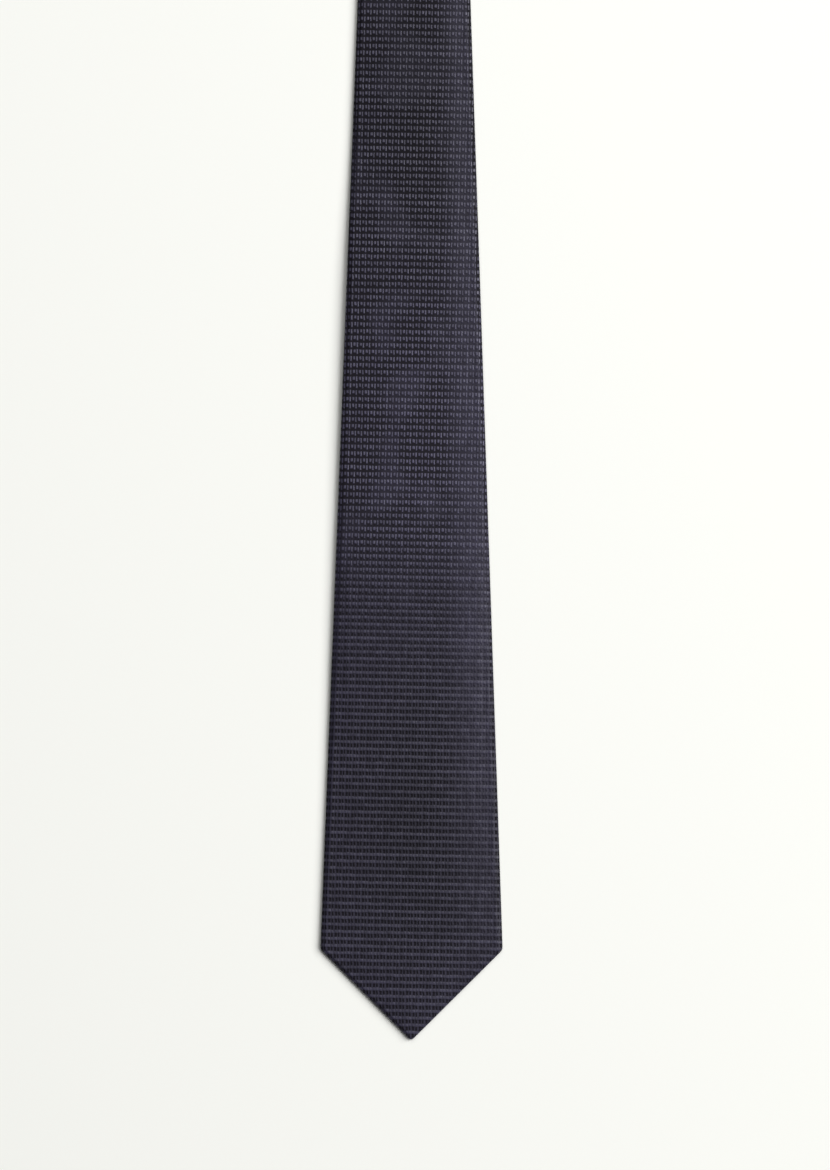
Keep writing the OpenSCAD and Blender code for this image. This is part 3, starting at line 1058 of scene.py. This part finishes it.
@dataclass
class BackFittings:
    """What is sewn to the back of the blade: the keeper loop, the blank label and the care label."""

    lay: Lay
    weave: Weave
    finishes: Finishes
    threads: Threads

    def keeper_loop(self) -> None:
        """Makes the band that holds the tail: flat across the back, folded up and under at both ends.

        Its middle line is a flat run, two half ellipses and two short tabs. Round that line goes a flat loop,
        12 mm by one double cloth, with soft edges.
        """
        low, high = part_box("keeper_loop")
        thick = 0.42 * MM
        bottom, top = low[2] + thick / 2 + 0.02 * MM, high[2] - thick / 2 * 0.55
        middle, rise = (bottom + top) / 2, (top - bottom) / 2
        flat, reach, tab = high[0] - 0.55 * MM - thick / 2, 0.5 * MM, 6 * MM
        turn = np.linspace(np.pi / 2, -np.pi / 2, 11)
        run = np.linspace(-flat, flat, 41)[1:-1]
        inward = np.linspace(tab, 0, 8)[:-1]
        x = mirrored(flat - inward, flat + reach * np.cos(turn), run)
        z = mirrored(0 * inward + top, middle + rise * np.sin(turn), 0 * run + bottom, 1.0)
        sag = 0.06 * MM * np.cos(np.clip(x / flat, -1, 1) * np.pi / 2)
        z = z - np.where(z < middle, sag * 0.5, 0.0)
        path = points(x, np.zeros_like(x), z)
        along = unit(np.gradient(path, axis=0))
        normal = points(-along[:, 2], np.zeros(len(x)), along[:, 0])
        angle = circle(36)
        width = (high[1] - low[1]) / 2
        across = width * squarer(np.cos(angle), 0.35)
        proud = thick / 2 * squarer(np.sin(angle), 0.6)
        side = np.array([0.0, 1.0, 0.0])
        scale = np.ones(len(x))
        scale[[0, -1]] = 0.0
        xyz = path[:, None] + scale[:, None, None] * proud[None, :, None] * normal[:, None]
        xyz = xyz + (across[None, :, None] * side)
        xyz[:, :, 1] += (low[1] + high[1]) / 2
        length = np.concatenate([[0.0], np.cumsum(np.linalg.norm(np.diff(path, axis=0), axis=1))])
        uv = np.stack([np.broadcast_to(across / self.weave.across, (len(x), len(angle))),
                       np.broadcast_to(300 + length[:, None] / self.weave.along, (len(x), len(angle)))], axis=-1)
        piece = outward(grid_mesh("keeper_band", xyz, {"weave": uv}, around=True))
        dress(piece, self.finishes.silk, "patterned_silk", "keeper_loop")
        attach(piece, "blade_half")
        self.loop_tacks()

    def loop_tacks(self) -> None:
        """Makes the small overcast stitches at both ends of the keeper loop."""
        low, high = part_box("keeper_loop_tacks")
        sign, y = both_sides(np.linspace(low[1] + 0.4 * MM, high[1] - 0.4 * MM, 7))
        outer = high[0] - 0.12 * MM
        start = points(sign * (outer - 1.1 * MM), y, np.full_like(y, low[2] - 0.06 * MM))
        stop = points(sign * outer, y + 0.4 * MM, np.full_like(y, high[2] - 0.15 * MM))
        self.threads.sew(self.threads.stitches("keeper_tack_stitches", start, stop, -0.05 * MM, 0.18 * MM),
                         "blade_half", "keeper_loop_tacks")

    def label(self, name: str, node: str, slot: str, material: Material, body: str, cup: float,
              thick: float) -> None:
        """Makes a blank label: a ribbon with soft edges and a slight bow.

        Args:
            name: The piece's name.
            node: The node that it replaces.
            slot: The record's material slot.
            material: Its finish.
            body: The body that it rides on.
            cup: How far its free middle stands down from its sewn edge.
            thick: Its thickness.
        """
        low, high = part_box(node)
        fx, fy = np.linspace(-1, 1, 41), np.linspace(-1, 1, 31)
        gx, gy = np.meshgrid(fx, fy)
        x = (low[0] + high[0]) / 2 + gx * (high[0] - low[0]) / 2
        y = (low[1] + high[1]) / 2 + gy * (high[1] - low[1]) / 2
        pucker = 0.03 * MM * np.cos(gy * 9.0) * gx**6
        z = (low[2] + high[2]) / 2 - cup * (1 - gx**4) * (1 - (0.5 + gy / 2) ** 2) + pucker
        piece = grid_mesh(name, points(x, y, z))
        thicken(piece, thick)
        dress(piece, material, slot, node)
        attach(piece, body)

    def label_stitches(self) -> None:
        """Makes the stitches down both short ends of the blank label."""
        low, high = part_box("label_stitches")
        sign, y = both_sides(np.arange(low[1], high[1], 1.7 * MM))
        z = np.full_like(y, high[2] + 0.03 * MM)
        edge = high[0] + 0.55 * MM
        start = points(sign * edge, y, z)
        stop = points(sign * (edge - 1.2 * MM), y + 0.5 * MM, z)
        self.threads.sew(self.threads.stitches("label_end_stitches", start, stop, -0.08 * MM, 0.16 * MM),
                         "blade_half", "label_stitches")

    def care_stitches(self) -> None:
        """Makes the row that sews the care label down along its upper edge."""
        low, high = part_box("care_label_stitches")
        x = np.arange(low[0], high[0], 2.0 * MM)
        y = np.full_like(x, (low[1] + high[1]) / 2)
        z = np.full_like(x, (low[2] + high[2]) / 2)
        start, stop = points(x, y, z), points(x + 1.3 * MM, y, z)
        self.threads.sew(self.threads.stitches("care_row", start, stop, 0.0, 0.16 * MM), "blade_half",
                         "care_label_stitches")

    def build(self) -> None:
        """Makes the loop, the labels and their stitches."""
        self.keeper_loop()
        for name, node, slot, title, ground, border, body, cup, thick in (
            ("maker_label_blank", "blank_label", "label_weave", "blank damask label", "3d3c4c", "6a6880",
             "blade_half", 0.10 * MM, 0.24 * MM),
            ("care_tag", "care_label", "care_satin", "blank white satin tag", "dedcd4", "c9c6bc",
             "care_tag", 0.16 * MM, 0.22 * MM),
        ):
            low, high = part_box(node)
            finish = LabelWeave(title, ground, border, (low[0], low[1]), (high[0], high[1]))
            self.label(name, node, slot, finish.material(), body, cup, thick)
        self.label_stitches()
        self.care_stitches()


@dataclass
class Studio:
    """A plain pale floor, soft light from the upper right, and a camera straight above the blade."""

    lay: Lay
    view_h: float = 449.0 * MM
    distance: float = 2.2
    ahead: float = 174.4 * MM
    aside: float = 0.96 * MM
    roll_deg: float = -0.16

    def floor(self) -> None:
        """Lays the floor: a sheet of matt off-white board."""
        side = np.linspace(-4, 4, 3)
        x, y = np.meshgrid(side, side)
        board = grid_mesh("floor", points(x, y, np.full_like(x, -0.00002)))
        board.data.materials.append(Graph("matt off-white board").shade(
            {"Base Color": (0.90, 0.905, 0.87, 1.0), "Roughness": 0.9, "Specular IOR Level": 0.1}))
        board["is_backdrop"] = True

    def lights(self) -> None:
        """Sets a faint even sky, one wide soft lamp high on the right, and a weaker one overhead."""
        world = bpy.data.worlds.new("soft room")
        world.use_nodes = True
        back = world.node_tree.nodes["Background"]
        back.inputs[0].default_value = (0.97, 0.985, 1.0, 1.0)
        back.inputs[1].default_value = 0.05
        bpy.context.scene.world = world
        self.lamp("window", 196.0, np.array([0.92, 0.24, 1.0]))
        self.lamp("overhead", 54.0, np.array([0.0, 0.5, 1.0]))

    def lamp(self, name: str, watts: float, towards: Array) -> None:
        """Hangs a square lamp, 3 m across and 4 m away, facing the middle of the view.

        Args:
            name: The lamp's name.
            watts: Its power.
            towards: The way to it from the middle of the view.
        """
        lamp = bpy.data.lights.new(name, "AREA")
        lamp.shape = "SQUARE"
        lamp.size = 3.0
        lamp.energy = watts
        lamp.color = (1.0, 0.998, 0.99)
        holder = bpy.data.objects.new(name, lamp)
        bpy.context.collection.objects.link(holder)
        target = np.array([0.0, self.lay.y(self.ahead), 0.0])
        spot = target + 4.0 * towards / np.linalg.norm(towards)
        holder.location = spot
        holder.rotation_euler = aim(spot, target)

    def camera(self) -> None:
        """Hangs the camera straight above the blade, turned a little so that the tie leans to the right."""
        lens = bpy.data.cameras.new("camera")
        lens.sensor_fit = "VERTICAL"
        lens.sensor_height = 36.0
        lens.lens = 36.0 * self.distance / self.view_h
        lens.clip_end = 20.0
        camera = bpy.data.objects.new("camera", lens)
        bpy.context.collection.objects.link(camera)
        camera.location = (self.aside, float(self.lay.y(self.ahead)), self.distance + self.lay.thick)
        camera.rotation_euler = (0.0, 0.0, float(np.radians(-self.roll_deg)))
        bpy.context.scene.camera = camera

    def build(self) -> None:
        """Sets the floor, the light, the camera and a plain colour rendering."""
        self.floor()
        self.lights()
        self.camera()
        settings = bpy.context.scene.view_settings
        settings.view_transform = "Standard"
        settings.look = "None"


def aim(spot: Array, target: Array) -> tuple[float, float, float]:
    """Returns the turn that points an object's -Z from a spot to a target."""
    way = (target - spot) / np.linalg.norm(target - spot)
    tilt = float(np.arccos(-way[2]))
    swing = float(np.arctan2(-way[0], way[1]))
    return (tilt, 0.0, swing)


def main() -> None:
    """Loads the frame and builds every piece in order."""
    logging.basicConfig(level=logging.INFO, format="%(name)s: %(message)s")
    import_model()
    lay, weave = Lay.from_frame(), Weave()
    Studio(lay).build()
    finishes = Finishes(weave)
    panels = ClothPanels(lay, weave, finishes)
    panels.build()
    Core(lay, finishes).build()
    threads = Threads(lay, finishes)
    threads.build(panels)
    BackFittings(lay, weave, finishes, threads).build()


if __name__ == "__main__":
    main()
